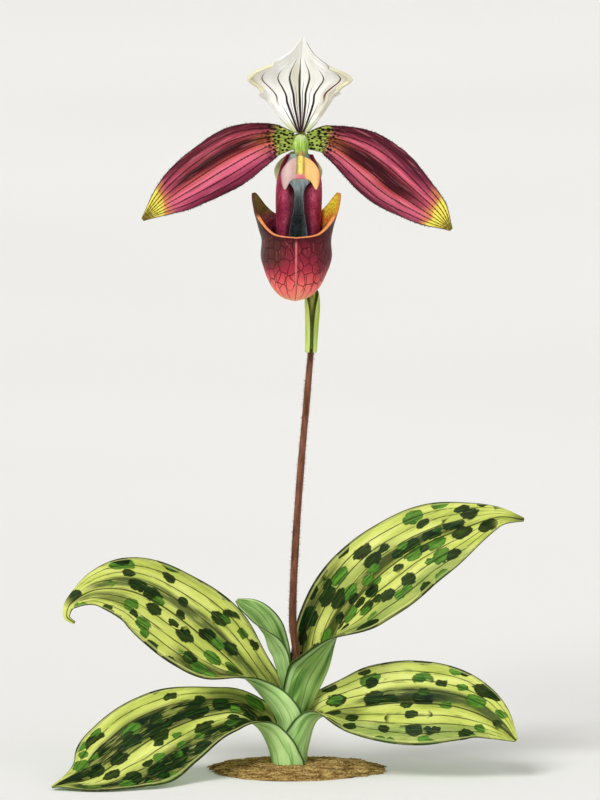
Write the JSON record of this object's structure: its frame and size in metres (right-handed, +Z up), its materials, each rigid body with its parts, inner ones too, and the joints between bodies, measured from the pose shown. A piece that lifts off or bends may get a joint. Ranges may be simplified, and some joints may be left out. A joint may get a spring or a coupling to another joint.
{
  "type": "slipper orchid plant",
  "caption": "Slipper orchid in flower: a two-ranked fan of mottled leaves, a hairy stalk and a nodding flower with a pouched lip and striped hood, in a thin patch of soil.",
  "frame": {"origin": "on the flat underside of the soil, below the middle of the leaf fan", "axes": "+Z up along the flower stalk, the flower faces -Y, +X to the right seen from the front"},
  "size_m": [0.141, 0.056, 0.2223],
  "materials": {
    "soil": "rough crumbly brown soil",
    "stem": "pale green, smooth",
    "leaf": "yellow-green with dark green blotches and veins, satin",
    "young_leaf": "plain mid green, satin",
    "scape": "brown-maroon, short hairs",
    "bract": "yellow-green, matt",
    "sepal": "white with purple to green stripes, matt",
    "lower_sepal": "pale green with darker veins, matt",
    "petal": "rose with dark maroon veins and yellow tips, satin",
    "lip": "maroon with net veins and an orange rim, glossy satin",
    "column": "yellow-green, smooth",
    "staminode": "pink and orange with a yellow middle, smooth"
  },
  "bodies": {
    "root": {"soil": "soil", "short_stem": "stem", "leaf_lower_left": "leaf", "leaf_lower_right": "leaf", "leaf_upper_left": "leaf", "leaf_upper_right": "leaf", "leaf_inner": "young_leaf", "scape": "scape", "bract": "bract", "ovary": "bract", "sepal_dorsal": "sepal", "sepal_lower": "lower_sepal", "petal_left": "petal", "petal_right": "petal", "lip": "lip", "column": "column", "staminode": "staminode"}
  },
  "joints": []
}
